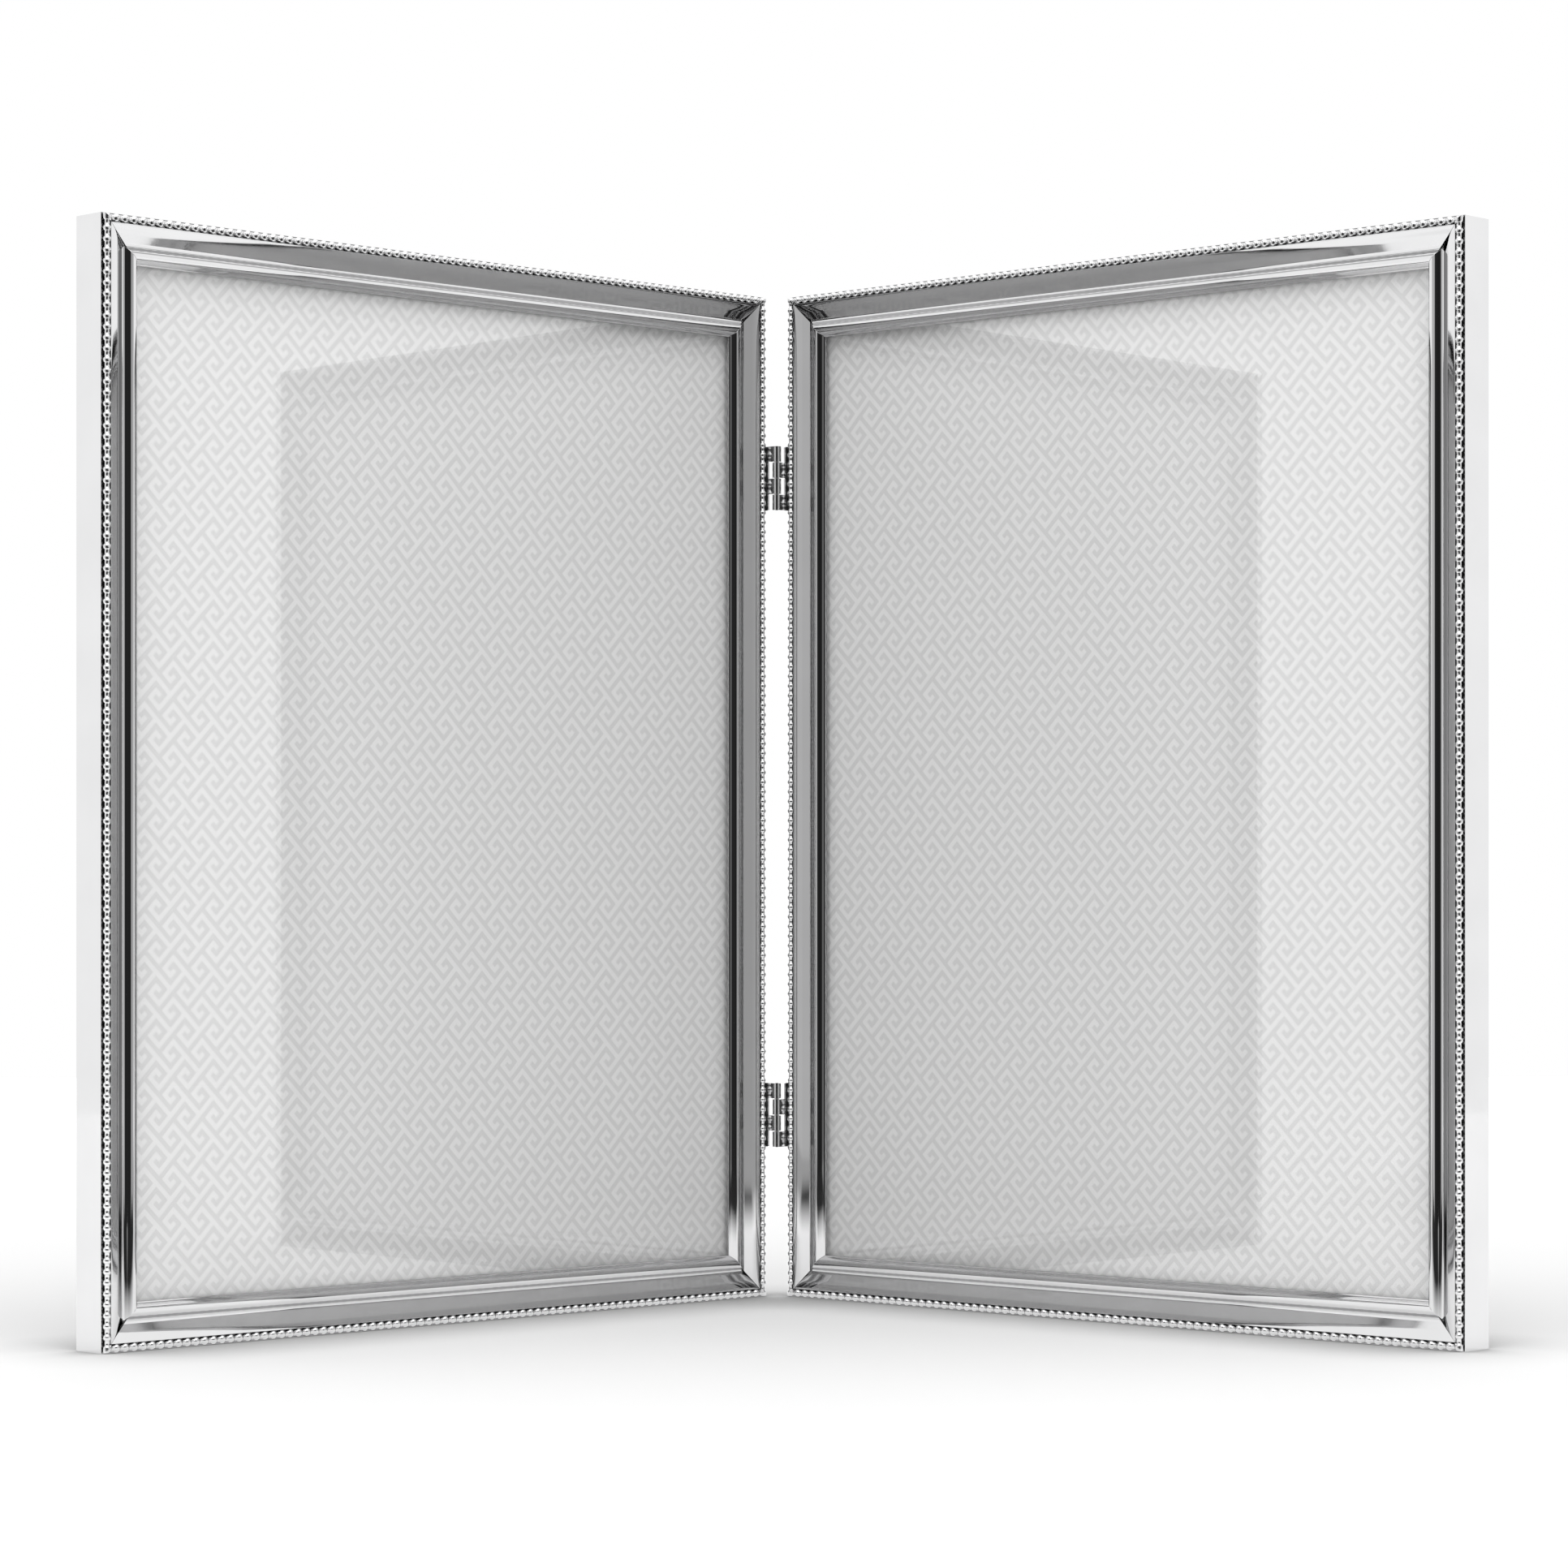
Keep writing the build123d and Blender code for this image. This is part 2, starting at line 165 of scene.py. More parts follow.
# Section of the moulding
def arc(start, middle, end, steps=ARC_STEPS):
    """Points on the circle through three points, without the last."""
    (ax, ay), (bx, by), (cx, cy) = start, middle, end
    d = 2 * (ax * (by - cy) + bx * (cy - ay) + cx * (ay - by))
    a2, b2, c2 = ax * ax + ay * ay, bx * bx + by * by, cx * cx + cy * cy
    ux = (a2 * (by - cy) + b2 * (cy - ay) + c2 * (ay - by)) / d
    uy = (a2 * (cx - bx) + b2 * (ax - cx) + c2 * (bx - ax)) / d
    radius = sqrt((ax - ux) ** 2 + (ay - uy) ** 2)
    first = atan2(ay - uy, ax - ux)
    half = (atan2(by - uy, bx - ux) - first + pi) % (2 * pi) - pi
    whole = (atan2(cy - uy, cx - ux) - first) % (2 * pi)
    if half < 0:
        whole -= 2 * pi
    return [
        (ux + radius * cos(first + whole * i / steps), uy + radius * sin(first + whole * i / steps))
        for i in range(steps)
    ]


def sagging(start, end, sag, steps=ARC_STEPS):
    """Points of a flat arc that lies sag below its chord, without the last."""
    middle = Vector(((start[0] + end[0]) / 2, (start[1] + end[1]) / 2))
    chord = Vector(end) - Vector(start)
    down = Vector((chord.y, -chord.x)).normalized()
    return arc(start, tuple(middle + down * sag), end, steps)


def rounded(points, radius):
    """The closed outline with every sharp corner turned into a small curve."""
    result = []
    count = len(points)
    for i, point in enumerate(points):
        here = Vector(point)
        before = Vector(points[i - 1]) - here
        after = Vector(points[(i + 1) % count]) - here
        turn = pi - before.angle(after)
        if degrees(turn) < KEPT_TURN:
            result.append(here)
            continue
        reach = min(radius, 0.4 * before.length, 0.4 * after.length)
        start = here + before.normalized() * reach
        end = here + after.normalized() * reach
        for step in range(ROUND_STEPS + 1):
            t = step / ROUND_STEPS
            result.append(start * (1 - t) ** 2 + here * (2 * t * (1 - t)) + end * t * t)
    return result


def moulding_outline():
    """Closed outline of the pressed moulding's section, clockwise from the back."""
    ridge_middle = (RIDGE_START + RIDGE_END) / 2
    slope = (RIM_HEIGHT + VALLEY_DEPTH) / FACE_WIDTH
    bend = RIM_END + FACE_THICKNESS
    bend_level = RIM_HEIGHT - slope * (bend - RIM_END) - FACE_THICKNESS
    heel = BEAD_INSET + CHANNEL_HEEL_SHARE * CHANNEL_RADIUS
    middle = (atan2(RIM_HEIGHT - BEAD_RISE, RIM_START - BEAD_INSET) - pi / 2) / 2
    channel_middle = (BEAD_INSET + CHANNEL_RADIUS * cos(middle), BEAD_RISE + CHANNEL_RADIUS * sin(middle))
    points = [(0, -WALL_DEPTH), (0, 0), (WALL_LIP_WIDTH, 0), (WALL_LIP_WIDTH, CHANNEL_FLOOR)]
    points += arc((BEAD_INSET, CHANNEL_FLOOR), channel_middle, (RIM_START, RIM_HEIGHT))
    points += [(RIM_START, RIM_HEIGHT)]
    shoulder_end = (RIM_END + SHOULDER_WIDTH, RIM_HEIGHT - SHOULDER_DROP)
    bulge_end = (VALLEY - FLANK_WIDTH, RIM_HEIGHT - SHOULDER_DROP - BULGE_DROP)
    points += sagging((RIM_END, RIM_HEIGHT), shoulder_end, -SHOULDER_BULGE, ROUND_STEPS)
    points += sagging(shoulder_end, bulge_end, -FACE_BULGE)
    points += [bulge_end]
    points += sagging((VALLEY, -VALLEY_DEPTH), (RIDGE_START, RIDGE_START_LEVEL), TROUGH_HOLLOW)
    points += arc(
        (RIDGE_START, RIDGE_START_LEVEL),
        (ridge_middle, RIDGE_TOP_LEVEL),
        (RIDGE_END, RIDGE_END_LEVEL),
        2 * ARC_STEPS,
    )
    points += sagging((RIDGE_END, RIDGE_END_LEVEL), (COVE_END, COVE_END_LEVEL), -COVE_BULGE)
    points += sagging((COVE_END, COVE_END_LEVEL), (MOULDING_WIDTH, LIP_LEVEL), -LIP_ROUND, ROUND_STEPS)
    points += [
        (MOULDING_WIDTH, LIP_LEVEL),
        (MOULDING_WIDTH, SEAT_LEVEL),
        (MOULDING_WIDTH - LIP_SEAT_WIDTH, SEAT_LEVEL),
        (RIDGE_END, RIDGE_END_LEVEL - FACE_THICKNESS),
        (ridge_middle, RIDGE_TOP_LEVEL - FACE_THICKNESS),
        (RIDGE_START, RIDGE_START_LEVEL - FACE_THICKNESS),
        (VALLEY, -VALLEY_DEPTH - FACE_THICKNESS),
        (bend, bend_level),
        (heel, CHANNEL_UNDER),
        (WALL_THICKNESS, CHANNEL_UNDER),
        (WALL_THICKNESS, -WALL_DEPTH),
    ]
    return rounded(points, CORNER_ROUND)


def outline_normals(points):
    """Outward normal at each point, weighted by the lengths of its two edges."""
    normals = []
    for i, point in enumerate(points):
        edge = points[(i + 1) % len(points)] - points[i - 1]
        before = point - points[i - 1]
        after = points[(i + 1) % len(points)] - point
        along = before * before.length + after * after.length
        along = along if along.length > 0 else edge
        normals.append(Vector((-along.y, along.x)).normalized())
    return normals


# Mesh helpers
def new_mesh(name, points, faces, normals=None):
    mesh = bpy.data.meshes.new(name)
    mesh.from_pydata([tuple(p) for p in points], [], faces)
    mesh.validate()
    mesh.polygons.foreach_set("use_smooth", [True] * len(mesh.polygons))
    if normals:
        mesh.normals_split_custom_set_from_vertices([tuple(n) for n in normals])
    piece = bpy.data.objects.new(name, mesh)
    bpy.context.scene.collection.objects.link(piece)
    return piece


def settle(piece, body, material, slot, *nodes):
    piece.data.materials.append(material)
    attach(piece, body)
    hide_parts(*nodes)
    return piece


# Moulding: its section swept from mitre to mitre, with softened mitred ends
def make_moulding(side, place, rail, length, material):
    outline = moulding_outline()
    flat_normals = outline_normals(outline)
    turn = rail.to_3x3()
    rings = []
    for far in (False, True):
        for back, inset in MITRE_RINGS:
            rings.append((far, back * MITRE_ROUND, inset * MITRE_ROUND))
    near_count = len(MITRE_RINGS)
    ordered = rings[:near_count] + rings[near_count:][::-1]
    points = []
    normals = []
    for far, back, inset in ordered:
        for spot, normal in zip(outline, flat_normals):
            drawn = spot - normal * inset
            z = drawn.x + back
            lean = 1 if far else -1
            z = length - z if far else z
            points.append(rail @ Vector((drawn.x, drawn.y, z)))
            tilt = lean * min(1, inset / MITRE_ROUND)
            normals.append((turn @ Vector((normal.x, normal.y, tilt))).normalized())
    count = len(outline)
    faces = []
    for ring in range(len(ordered) - 1):
        for i in range(count):
            j = (i + 1) % count
            a, b = ring * count, (ring + 1) * count
            faces.append((a + i, b + i, b + j, a + j))
    faces.append(tuple(range(count)))
    last = (len(ordered) - 1) * count
    faces.append(tuple(range(last + count - 1, last - 1, -1)))
    piece = new_mesh(f"{side}_{place}_polished_moulding", points, faces, normals)
    settle(piece, f"{side}_leaf", material, "silver_plate", f"{side}_{place}_moulding")


# Beaded border: round beads on a thin wire, half a bead at each mitre
def bead_profile(span):
    """Distance along the wire and radius of each ring, half balls at the ends."""
    steps = round(span / BEAD_PITCH)
    pitch = span / steps
    neck_angle = acos(sqrt(BEAD_RADIUS**2 - BEAD_NECK_RADIUS**2) / BEAD_RADIUS)
    rings = []
    for step in range(steps + 1):
        first = pi / 2 if step == 0 else pi - neck_angle
        last = pi / 2 if step == steps else neck_angle
        count = BEAD_RINGS // 2 if step in (0, steps) else BEAD_RINGS
        for i in range(count + 1):
            angle = first + (last - first) * i / count
            rings.append((step * pitch + BEAD_RADIUS * cos(angle), BEAD_RADIUS * sin(angle)))
    return rings


def make_beading(side, place, rail, length, material):
    span = length - 2 * BEAD_INSET
    rings = bead_profile(span)
    points = []
    for along, radius in rings:
        for i in range(BEAD_SIDES):
            angle = 2 * pi * i / BEAD_SIDES
            x = BEAD_INSET + radius * cos(angle)
            y = BEAD_RISE + radius * sin(angle)
            z = BEAD_INSET + along
            # the end rings lie on the mitre planes
            if along == rings[0][0]:
                z = x
            if along == rings[-1][0]:
                z = length - x
            points.append(rail @ Vector((x, y, z)))
    faces = []
    for ring in range(len(rings) - 1):
        for i in range(BEAD_SIDES):
            j = (i + 1) % BEAD_SIDES
            a, b = ring * BEAD_SIDES, (ring + 1) * BEAD_SIDES
            faces.append((a + i, a + j, b + j, b + i))
    faces.append(tuple(range(BEAD_SIDES - 1, -1, -1)))
    last = (len(rings) - 1) * BEAD_SIDES
    faces.append(tuple(range(last, last + BEAD_SIDES)))
    piece = new_mesh(f"{side}_{place}_beading", points, faces)
    piece.data.set_sharp_from_angle(angle=radians(SHARP_TURN))
    settle(piece, f"{side}_leaf", material, "silver_plate", f"{side}_{place}_bead_wire")


# Node helpers
def new_material(name):
    material = bpy.data.materials.new(name)
    material.use_nodes = True
    nodes = material.node_tree.nodes
    return material, nodes, material.node_tree.links, nodes["Principled BSDF"]


def object_point(nodes):
    return nodes.new("ShaderNodeTexCoord").outputs["Object"]


def noise(nodes, links, vector, scale, detail=2.0, stretch=(1, 1, 1)):
    mapping = nodes.new("ShaderNodeMapping")
    mapping.inputs["Scale"].default_value = stretch
    texture = nodes.new("ShaderNodeTexNoise")
    texture.inputs["Scale"].default_value = scale
    texture.inputs["Detail"].default_value = detail
    links.new(vector, mapping.inputs["Vector"])
    links.new(mapping.outputs["Vector"], texture.inputs["Vector"])
    return texture.outputs["Fac"]


def spread(nodes, links, value, low, high, start=0.3, end=0.7):
    """A value between start and end, brought to the range from low to high."""
    ranged = nodes.new("ShaderNodeMapRange")
    ranged.inputs["From Min"].default_value = start
    ranged.inputs["From Max"].default_value = end
    ranged.inputs["To Min"].default_value = low
    ranged.inputs["To Max"].default_value = high
    links.new(value, ranged.inputs["Value"])
    return ranged.outputs["Result"]


def blended(nodes, links, value, first, second):
    """A colour between two by a value."""
    mix = nodes.new("ShaderNodeMix")
    mix.data_type = "RGBA"
    mix.inputs[6].default_value = (*first, 1)
    mix.inputs[7].default_value = (*second, 1)
    links.new(value, mix.inputs["Factor"])
    return mix.outputs[2]


def maths(nodes, links, operation, *values):
    node = nodes.new("ShaderNodeMath")
    node.operation = operation
    for socket, value in zip(node.inputs, values):
        if isinstance(value, (int, float)):
            socket.default_value = value
        else:
            links.new(value, socket)
    return node.outputs[0]


def bumped(nodes, links, shader, height, distance, strength=1.0):
    bump = nodes.new("ShaderNodeBump")
    bump.inputs["Strength"].default_value = strength
    bump.inputs["Distance"].default_value = distance
    links.new(height, bump.inputs["Height"])
    links.new(bump.outputs["Normal"], shader.inputs["Normal"])


# Polished plate: fine hazing, and faint waves of the pressed strip where wave is above 0; the three metals
# here have none
def polished_metal(name, light, dark, smooth, worn, wave):
    material, nodes, links, shader = new_material(name)
    point = object_point(nodes)
    haze = noise(nodes, links, point, 55, 4)
    colour = blended(nodes, links, spread(nodes, links, haze, 0, 1), light, dark)
    links.new(colour, shader.inputs["Base Color"])
    fine = noise(nodes, links, point, 420, 3)
    links.new(spread(nodes, links, fine, smooth, worn), shader.inputs["Roughness"])
    shader.inputs["Metallic"].default_value = 1.0
    if wave > 0:
        bumped(nodes, links, shader, noise(nodes, links, point, 90, 1), wave)
    return material


silver = polished_metal("silver plate", (0.44, 0.44, 0.443), (0.42, 0.42, 0.423), 0.035, 0.05, 0)
# Beads: the same silver plate painted lighter, standing in for the brighter light on and between the beads
bead_silver_painted_lighter = polished_metal("bead silver", (0.52, 0.52, 0.523), (0.48, 0.48, 0.483), 0.14, 0.18, 0)
hinge_metal = polished_metal("hinge metal", (0.62, 0.62, 0.623), (0.56, 0.56, 0.563), 0.10, 0.15, 0)


# Brushed steel for the turn buttons and their screws
def brushed_steel():
    material, nodes, links, shader = new_material("button steel")
    point = object_point(nodes)
    streak = noise(nodes, links, point, 900, 2, (1, 1, 0.08))
    streaks = spread(nodes, links, streak, 0, 1)
    colour = blended(nodes, links, streaks, (0.56, 0.55, 0.53), (0.40, 0.39, 0.375))
    links.new(colour, shader.inputs["Base Color"])
    links.new(spread(nodes, links, streak, 0.28, 0.42), shader.inputs["Roughness"])
    shader.inputs["Metallic"].default_value = 1.0
    bumped(nodes, links, shader, streak, 0.01 * MM)
    return material


# Clear pane, which lets the lamps and diffuse light straight through
def clear_glass():
    material, nodes, links, shader = new_material("clear glass")
    shader.inputs["Base Color"].default_value = (0.992, 0.992, 0.992, 1)
    shader.inputs["Transmission Weight"].default_value = 1.0
    shader.inputs["Roughness"].default_value = 0.0
    shader.inputs["IOR"].default_value = 1.46
    through = nodes.new("ShaderNodeBsdfTransparent")
    through.inputs["Color"].default_value = (0.967, 0.967, 0.967, 1)
    rays = nodes.new("ShaderNodeLightPath")
    straight = maths(nodes, links, "MAXIMUM", rays.outputs["Is Shadow Ray"], rays.outputs["Is Diffuse Ray"])
    mix = nodes.new("ShaderNodeMixShader")
    links.new(straight, mix.inputs["Fac"])
    links.new(shader.outputs["BSDF"], mix.inputs[1])
    links.new(through.outputs["BSDF"], mix.inputs[2])
    links.new(mix.outputs["Shader"], nodes["Material Output"].inputs["Surface"])
    return material


# Printed insert. The key pattern stands on squares turned by 45 degrees, with one
# key that hooks inward from its lowest square and a long bar up to the right, and
# one upside down. Each strip of squares is the one before it, shifted along
KEY_TURNS = (3, 2, 1)
KEY_BAR = 9
KEY_COPY_START = (-3, 2)
KEY_SHIFT = 49
KEY_CELL_WIDTH = 8.46 * MM
KEY_CELL_HEIGHT = 10.0 * MM
KEY_SQUARES_ACROSS = 5
KEY_SQUARES_DOWN = 6
KEY_SQUARES = 2 * KEY_SQUARES_ACROSS * KEY_SQUARES_DOWN
KEY_START = {"left": (36.3 * MM, 91.4 * MM), "right": (178.5 * MM, 91.1 * MM)}
PAPER_GROUND = (0.68, 0.68, 0.68)
PAPER_LINE = (0.815, 0.815, 0.815)


def key_marks():
    """Whether each square along a strip is light, from the two keys."""
    key = [(0, -step) for step in range(KEY_BAR)]
    right, left = 0, 0
    for turn, (right_step, left_step) in zip(KEY_TURNS, ((-1, 0), (0, -1), (1, 0))):
        for _ in range(turn):
            right, left = right + right_step, left + left_step
            key.append((right, left))
    copy_right, copy_left = KEY_COPY_START
    squares = key + [(copy_right - left, copy_left - right) for right, left in key]
    light = {(KEY_SHIFT * right + left) % KEY_SQUARES for right, left in squares}
    return [square in light for square in range(KEY_SQUARES)]


def printed_paper(side):
    material, nodes, links, shader = new_material(f"printed paper {side}")
    origin, x_dir, y_dir, z_dir = leaf_frame(side)
    across_start, up_start = KEY_START[side]
    point = object_point(nodes)

    def along(direction, start, scale):
        """Position along a leaf direction from a start, in units of scale."""
        dot = nodes.new("ShaderNodeVectorMath")
        dot.operation = "DOT_PRODUCT"
        dot.inputs[1].default_value = direction
        links.new(point, dot.inputs[0])
        shifted = maths(nodes, links, "SUBTRACT", dot.outputs["Value"], origin.dot(direction) + start)
        return maths(nodes, links, "MULTIPLY", shifted, 1 / scale)

    across = along(x_dir, across_start, KEY_CELL_WIDTH / KEY_SQUARES_ACROSS)
    down = along(-y_dir, -up_start, KEY_CELL_HEIGHT / KEY_SQUARES_DOWN)
    # squares down to the right, and down to the left
    right_way = maths(nodes, links, "ADD", down, across)
    right_way = maths(nodes, links, "FLOOR", maths(nodes, links, "ADD", right_way, 0.5))
    left_way = maths(nodes, links, "SUBTRACT", down, across)
    left_way = maths(nodes, links, "FLOOR", maths(nodes, links, "ADD", left_way, 0.5))
    strip = maths(nodes, links, "MULTIPLY_ADD", right_way, float(KEY_SHIFT), left_way)
    place = maths(nodes, links, "FLOORED_MODULO", strip, float(KEY_SQUARES))
    share = maths(nodes, links, "DIVIDE", maths(nodes, links, "ADD", place, 0.5), float(KEY_SQUARES))
    ramp = nodes.new("ShaderNodeValToRGB")
    ramp.color_ramp.interpolation = "CONSTANT"
    stops = ramp.color_ramp.elements
    stops.remove(stops[1])
    before = None
    for index, mark in enumerate(key_marks()):
        if mark != before:
            stop = stops[0] if index == 0 else stops.new(index / KEY_SQUARES)
            stop.position = index / KEY_SQUARES
            stop.color = (1, 1, 1, 1) if mark else (0, 0, 0, 1)
            before = mark
    links.new(share, ramp.inputs["Fac"])
    fibre = noise(nodes, links, point, 700, 4)
    ink = maths(nodes, links, "MULTIPLY", ramp.outputs["Color"], spread(nodes, links, fibre, 0.86, 1.0))
    links.new(blended(nodes, links, ink, PAPER_GROUND, PAPER_LINE), shader.inputs["Base Color"])
    shader.inputs["Roughness"].default_value = 0.62
    bumped(nodes, links, shader, fibre, 0.006 * MM)
    return material


# Black-stained wood with fine grain along the leaf's height
def black_wood():
    material, nodes, links, shader = new_material("black wood")
    point = object_point(nodes)
    grain = noise(nodes, links, point, 260, 6, (1, 1, 0.06))
    grains = spread(nodes, links, grain, 0, 1)
    colour = blended(nodes, links, grains, (0.012, 0.011, 0.010), (0.05, 0.042, 0.036))
    links.new(colour, shader.inputs["Base Color"])
    links.new(spread(nodes, links, grain, 0.42, 0.62), shader.inputs["Roughness"])
    bumped(nodes, links, shader, grain, 0.05 * MM)
    return material


# Hardboard: felted brown fibres
def fibreboard():
    material, nodes, links, shader = new_material("fibreboard")
    point = object_point(nodes)
    felt = noise(nodes, links, point, 520, 6)
    colour = blended(nodes, links, spread(nodes, links, felt, 0, 1), (0.22, 0.14, 0.085), (0.42, 0.30, 0.19))
    links.new(colour, shader.inputs["Base Color"])
    shader.inputs["Roughness"].default_value = 0.85
    bumped(nodes, links, shader, felt, 0.06 * MM)
    return material


# Velvet: short dense pile, brushed unevenly, with a soft sheen
def black_velvet():
    material, nodes, links, shader = new_material("black velvet")
    point = object_point(nodes)
    pile = noise(nodes, links, point, 2600, 2)
    brushed = noise(nodes, links, point, 26, 3)
    fine = maths(nodes, links, "MULTIPLY", pile, 0.6)
    broad = maths(nodes, links, "MULTIPLY", brushed, 0.4)
    shade = spread(nodes, links, maths(nodes, links, "ADD", fine, broad), 0, 1)
    colour = blended(nodes, links, shade, (0.006, 0.006, 0.007), (0.026, 0.026, 0.029))
    links.new(colour, shader.inputs["Base Color"])
    shader.inputs["Roughness"].default_value = 0.95
    shader.inputs["Sheen Weight"].default_value = 0.25
    shader.inputs["Sheen Roughness"].default_value = 0.4
    shader.inputs["Sheen Tint"].default_value = (0.5, 0.5, 0.54, 1)
    bumped(nodes, links, shader, pile, 0.12 * MM)
    return material


def paint(node, material):
    piece = frame["nodes"][node]
    piece.data.materials.clear()
    piece.data.materials.append(material)


glass = clear_glass()
steel = brushed_steel()
wood = black_wood()
board = fibreboard()
velvet = black_velvet()

for side in SIDES:
    for place, (rail, length) in rail_frames(side).items():
        make_moulding(side, place, rail, length, silver)
        make_beading(side, place, rail, length, bead_silver_painted_lighter)
        paint(f"{side}_{place}_core_strip", wood)
        paint(f"{side}_{place}_turn_button", steel)
    paint(f"{side}_glass", glass)
    paint(f"{side}_photo_insert", printed_paper(side))
    paint(f"{side}_backing_board", board)
    paint(f"{side}_velvet_back", velvet)
    paint(f"{side}_button_screws", steel)
    paint(f"{side}_hinge_screws", hinge_metal)
    for hinge in ("lower", "upper"):
        paint(f"{side}_{hinge}_hinge_plate", hinge_metal)
for hinge in ("lower", "upper"):
    paint(f"{hinge}_hinge_pin", hinge_metal)


# Floor: pale, seen as white where nothing shades it. In reflections its front
# part is as dim as the room in front, and dark straight before the camera
FLOOR_HALF = 1.3
FLOOR_FRONT = -0.45
FLOOR_BACK = 1.5
# Painted contact shadow: near the frame the floor's own colour is darkened, out to the reach below
PAINTED_SHADOW_REACH = 38 * MM
PAINTED_SHADOW_SAMPLES = 8
FLOOR_PAINTED_SHADOW = (0.36, 0.36, 0.36)
FLOOR_OPEN = (0.77, 0.77, 0.77)
FLOOR_MIRRORED_LEVEL = 0.95
LEAF_REACH = 0.17             # half the width of the standing frame
NEAREST_FRONT = 0.05          # keeps the slant finite beside the frame


def make_floor():
    mesh = bpy.data.meshes.new("floor")
    front = [(-FLOOR_HALF, FLOOR_FRONT, 0), (FLOOR_HALF, FLOOR_FRONT, 0)]
    back = [(FLOOR_HALF, FLOOR_BACK, 0), (-FLOOR_HALF, FLOOR_BACK, 0)]
    mesh.from_pydata(front + back, [], [(0, 1, 2, 3)])
    floor = bpy.data.objects.new("floor", mesh)
    bpy.context.scene.collection.objects.link(floor)
    material, nodes, links, shader = new_material("floor")
    point = object_point(nodes)
    rays = nodes.new("ShaderNodeLightPath")
    # painted contact shadow: ambient occlusion near the frame darkens the floor's base colour
    painted_contact_shadow = nodes.new("ShaderNodeAmbientOcclusion")
    painted_contact_shadow.samples = PAINTED_SHADOW_SAMPLES
    painted_contact_shadow.inputs["Distance"].default_value = PAINTED_SHADOW_REACH
    open_share = spread(nodes, links, painted_contact_shadow.outputs["AO"], 0.0, 1.0, 0.45, 1.0)
    links.new(blended(nodes, links, open_share, FLOOR_PAINTED_SHADOW, FLOOR_OPEN), shader.inputs["Base Color"])
    shader.inputs["Roughness"].default_value = 0.9
    shader.inputs["Specular IOR Level"].default_value = 0.0
    away = nodes.new("ShaderNodeVectorMath")
    away.operation = "LENGTH"
    links.new(point, away.inputs[0])
    level = spread(nodes, links, away.outputs["Value"], 0.0, 0.62, 0.35, 1.8)
    seen = maths(nodes, links, "MULTIPLY", rays.outputs["Is Camera Ray"], level)
    mirrored = maths(nodes, links, "MULTIPLY", rays.outputs["Is Glossy Ray"], FLOOR_MIRRORED_LEVEL)
    links.new(maths(nodes, links, "ADD", seen, mirrored), shader.inputs["Emission Strength"])
    shader.inputs["Emission Color"].default_value = (1, 1, 1, 1)
    place = nodes.new("ShaderNodeSeparateXYZ")
    links.new(point, place.inputs[0])
    before = maths(nodes, links, "MULTIPLY", place.outputs["Y"], -1.0)
    before = maths(nodes, links, "MAXIMUM", before, NEAREST_FRONT)
    beside = maths(nodes, links, "ABSOLUTE", place.outputs["X"])
    beside = maths(nodes, links, "SUBTRACT", beside, LEAF_REACH)
    slant = maths(nodes, links, "DIVIDE", beside, before)
    room = nodes.new("ShaderNodeEmission")
    links.new(spread(nodes, links, slant, 0.04, 0.7, 0.2, 0.32), room.inputs["Strength"])
    in_front = spread(nodes, links, place.outputs["Y"], 1.0, 0.0, -0.25, -0.12)
    in_front = maths(nodes, links, "MULTIPLY", in_front, spread(nodes, links, slant, 1.0, 0.0, 1.2, 2.0))
    mix = nodes.new("ShaderNodeMixShader")
    links.new(maths(nodes, links, "MULTIPLY", in_front, rays.outputs["Is Glossy Ray"]), mix.inputs["Fac"])
    links.new(shader.outputs["BSDF"], mix.inputs[1])
    links.new(room.outputs[0], mix.inputs[2])
    links.new(mix.outputs[0], nodes["Material Output"].inputs["Surface"])
    mesh.materials.append(material)


make_floor()


# Studio: white all round, and in reflections a dark room straight in front, with
# a dim part beside it. Angles are measured from straight ahead
DARK_FULL_ANGLE = 26
DARK_END_ANGLE = 35
DARK_SHARE = 0.96
DIM_FULL_ANGLE = 37
DIM_END_ANGLE = 75
LIGHTING_LEVEL = 0.55


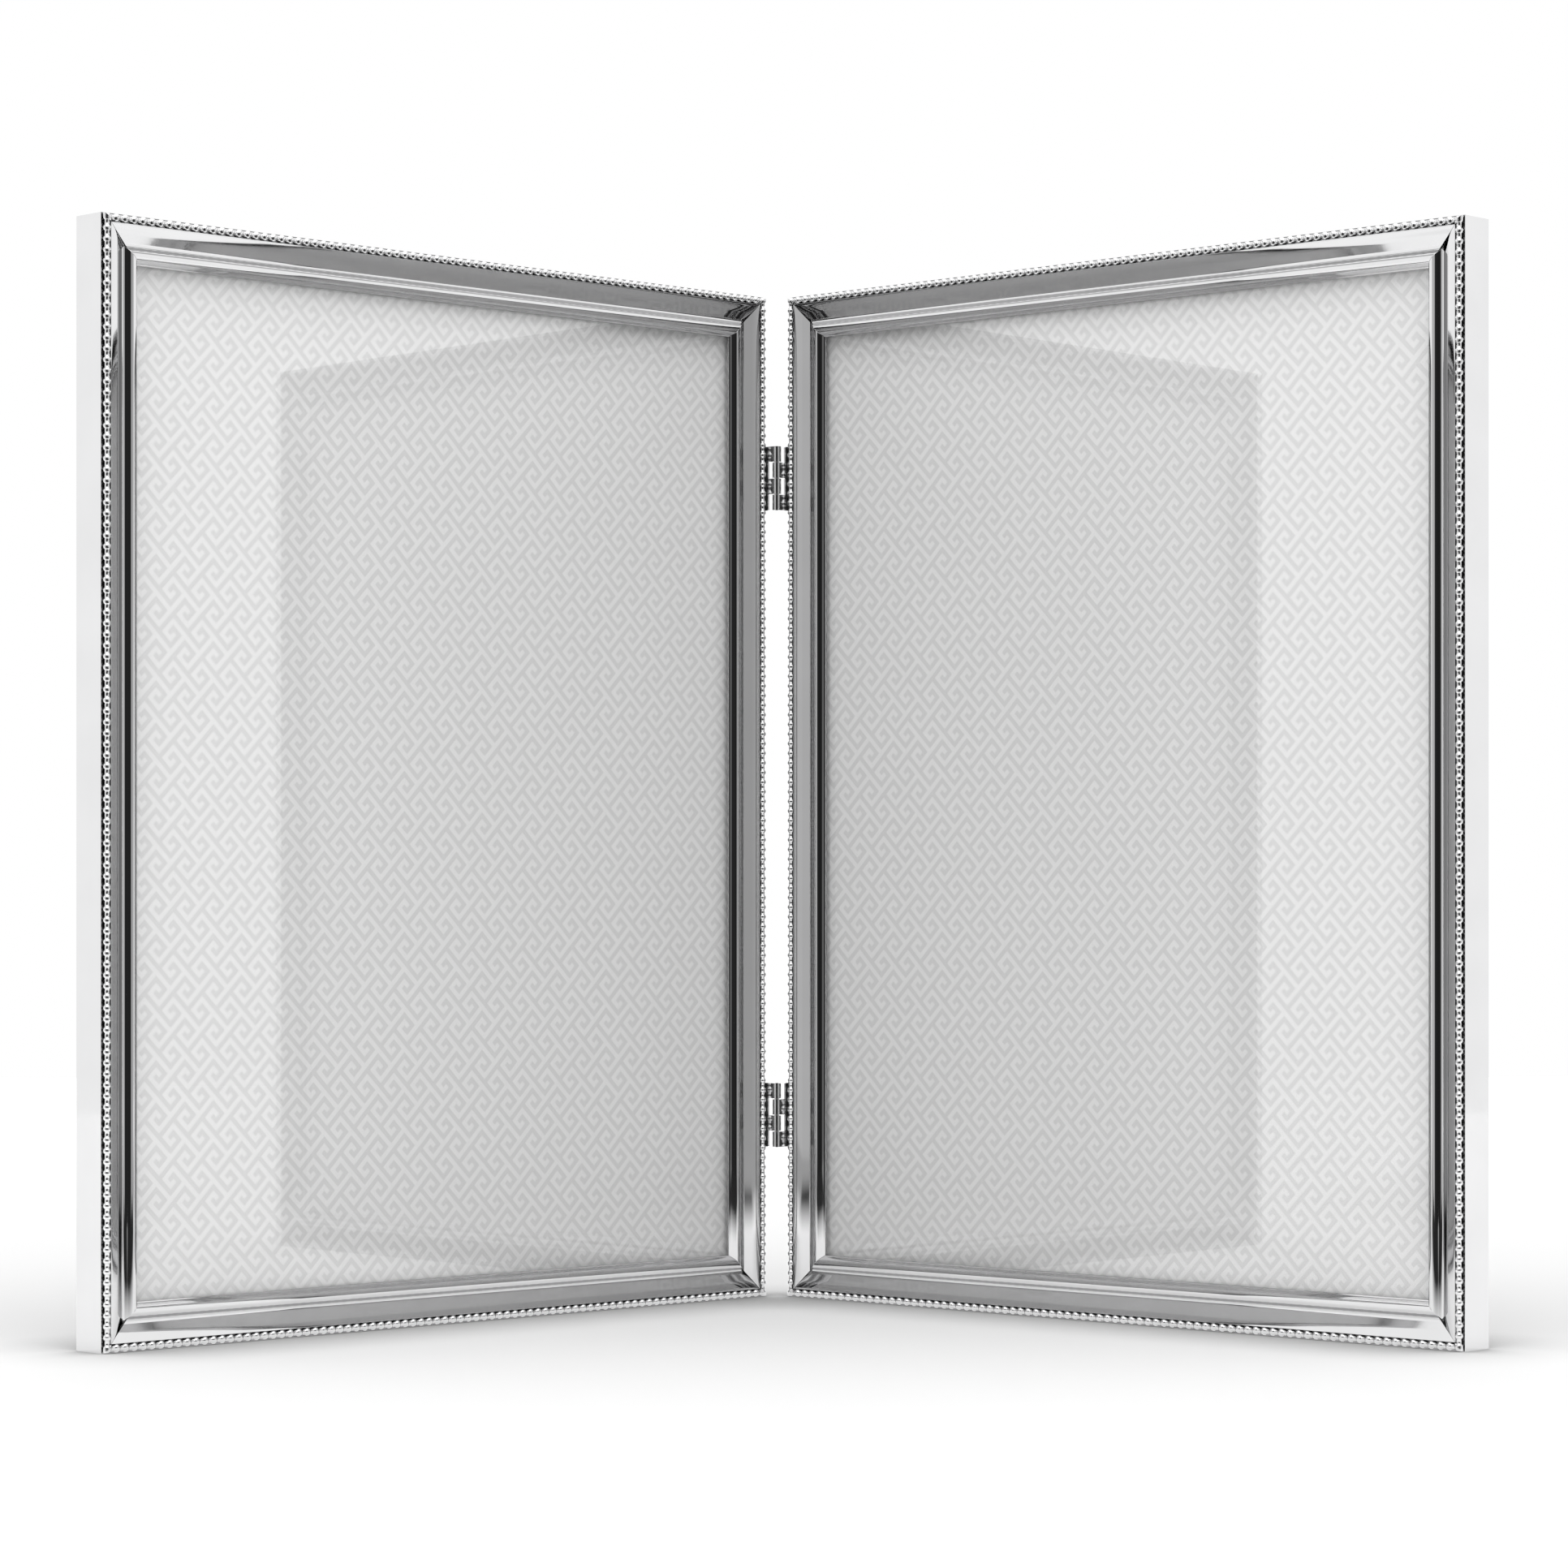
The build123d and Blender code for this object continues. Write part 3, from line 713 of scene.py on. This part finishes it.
def make_world():
    world = bpy.data.worlds.new("studio")
    bpy.context.scene.world = world
    world.use_nodes = True
    nodes, links = world.node_tree.nodes, world.node_tree.links
    nodes.clear()
    output = nodes.new("ShaderNodeOutputWorld")
    direction = nodes.new("ShaderNodeSeparateXYZ")
    links.new(nodes.new("ShaderNodeTexCoord").outputs["Generated"], direction.inputs[0])
    x, y, z = direction.outputs
    x_squared = maths(nodes, links, "MULTIPLY", x, x)
    y_squared = maths(nodes, links, "MULTIPLY", y, y)
    flat = maths(nodes, links, "SQRT", maths(nodes, links, "ADD", x_squared, y_squared))
    forward = maths(nodes, links, "MULTIPLY", y, -1.0)
    ahead = maths(nodes, links, "DIVIDE", forward, maths(nodes, links, "MAXIMUM", flat, 0.001))
    dark_end, dark_full = cos(radians(DARK_END_ANGLE)), cos(radians(DARK_FULL_ANGLE))
    dark = spread(nodes, links, ahead, 0.0, 1.0, dark_end, dark_full)
    dark = maths(nodes, links, "MULTIPLY", dark, spread(nodes, links, z, 1.0, 0.0, 0.5, 0.62))
    dim_end, dim_full = cos(radians(DIM_END_ANGLE)), cos(radians(DIM_FULL_ANGLE))
    dim = spread(nodes, links, ahead, 0.0, 1.0, dim_end, dim_full)
    dim = maths(nodes, links, "MULTIPLY", dim, spread(nodes, links, x, 0.05, 0.32, -0.4, 0.4))
    wall = maths(nodes, links, "SUBTRACT", 1.0, dim)
    lit = maths(nodes, links, "SUBTRACT", 1.0, maths(nodes, links, "MULTIPLY", dark, DARK_SHARE))
    glossy_level = maths(nodes, links, "MULTIPLY", wall, lit)
    rays = nodes.new("ShaderNodeLightPath")
    seen = nodes.new("ShaderNodeBackground")
    mirrored = nodes.new("ShaderNodeBackground")
    lighting = nodes.new("ShaderNodeBackground")
    links.new(glossy_level, mirrored.inputs["Strength"])
    lighting.inputs["Strength"].default_value = LIGHTING_LEVEL
    glossy_mix = nodes.new("ShaderNodeMixShader")
    links.new(rays.outputs["Is Glossy Ray"], glossy_mix.inputs["Fac"])
    links.new(lighting.outputs[0], glossy_mix.inputs[1])
    links.new(mirrored.outputs[0], glossy_mix.inputs[2])
    camera_mix = nodes.new("ShaderNodeMixShader")
    by_camera, by_glass = rays.outputs["Is Camera Ray"], rays.outputs["Is Transmission Ray"]
    straight = maths(nodes, links, "MAXIMUM", by_camera, by_glass)
    links.new(straight, camera_mix.inputs["Fac"])
    links.new(glossy_mix.outputs[0], camera_mix.inputs[1])
    links.new(seen.outputs[0], camera_mix.inputs[2])
    links.new(camera_mix.outputs[0], output.inputs["Surface"])
    for background in (seen, mirrored, lighting):
        background.inputs["Color"].default_value = (1, 1, 1, 1)


make_world()


# Softboxes, aimed at the middle of the frame
def softbox(name, spot, width, height, level):
    light = bpy.data.lights.new(name, "AREA")
    light.shape = "RECTANGLE"
    light.size = width
    light.size_y = height
    light.energy = level * width * height * pi
    lamp = bpy.data.objects.new(name, light)
    bpy.context.scene.collection.objects.link(lamp)
    aim = Vector((0, 0, LEAF_HEIGHT / 2)) - Vector(spot)
    lamp.location = spot
    lamp.rotation_euler = aim.to_track_quat("-Z", "Y").to_euler()
    lamp.visible_camera = False


softbox("left softbox", (-1.3, 0.25, 0.35), 1.55, 1.5, 0.88)
softbox("right softbox", (1.3, 0.25, 0.35), 1.55, 1.5, 0.88)
softbox("back softbox", (0, 1.7, 0.75), 2.6, 1.4, 0.7)
softbox("front softbox", (0, -1.1, 1.25), 2.4, 1.2, 1.5)
softbox("overhead softbox", (0, 0.1, 1.5), 2.0, 2.0, 1.1)

# Camera, fitted to the photo's leaf edges
FOCAL_PX = 5545
IMAGE_PX = 1932
PRINCIPAL_ROW_PX = 1101.8
SENSOR_MM = 36.0
CAMERA_X = -14.82 * MM
CAMERA_BEFORE_AXIS = 1199.91 * MM
CAMERA_HEIGHT = 107.33 * MM
CAMERA_TURN = -0.8
camera_data = bpy.data.cameras.new("camera")
camera = bpy.data.objects.new("camera", camera_data)
bpy.context.scene.collection.objects.link(camera)
camera_data.sensor_width = SENSOR_MM
camera_data.lens = FOCAL_PX / IMAGE_PX * SENSOR_MM
camera_data.shift_y = (PRINCIPAL_ROW_PX - IMAGE_PX / 2) / IMAGE_PX
camera_data.clip_start = 0.01
camera_data.clip_end = 50
camera.location = (CAMERA_X, AXIS.y - CAMERA_BEFORE_AXIS, CAMERA_HEIGHT)
camera.rotation_euler = (radians(90), 0, radians(CAMERA_TURN))
bpy.context.scene.camera = camera
bpy.context.scene.view_settings.view_transform = "Standard"
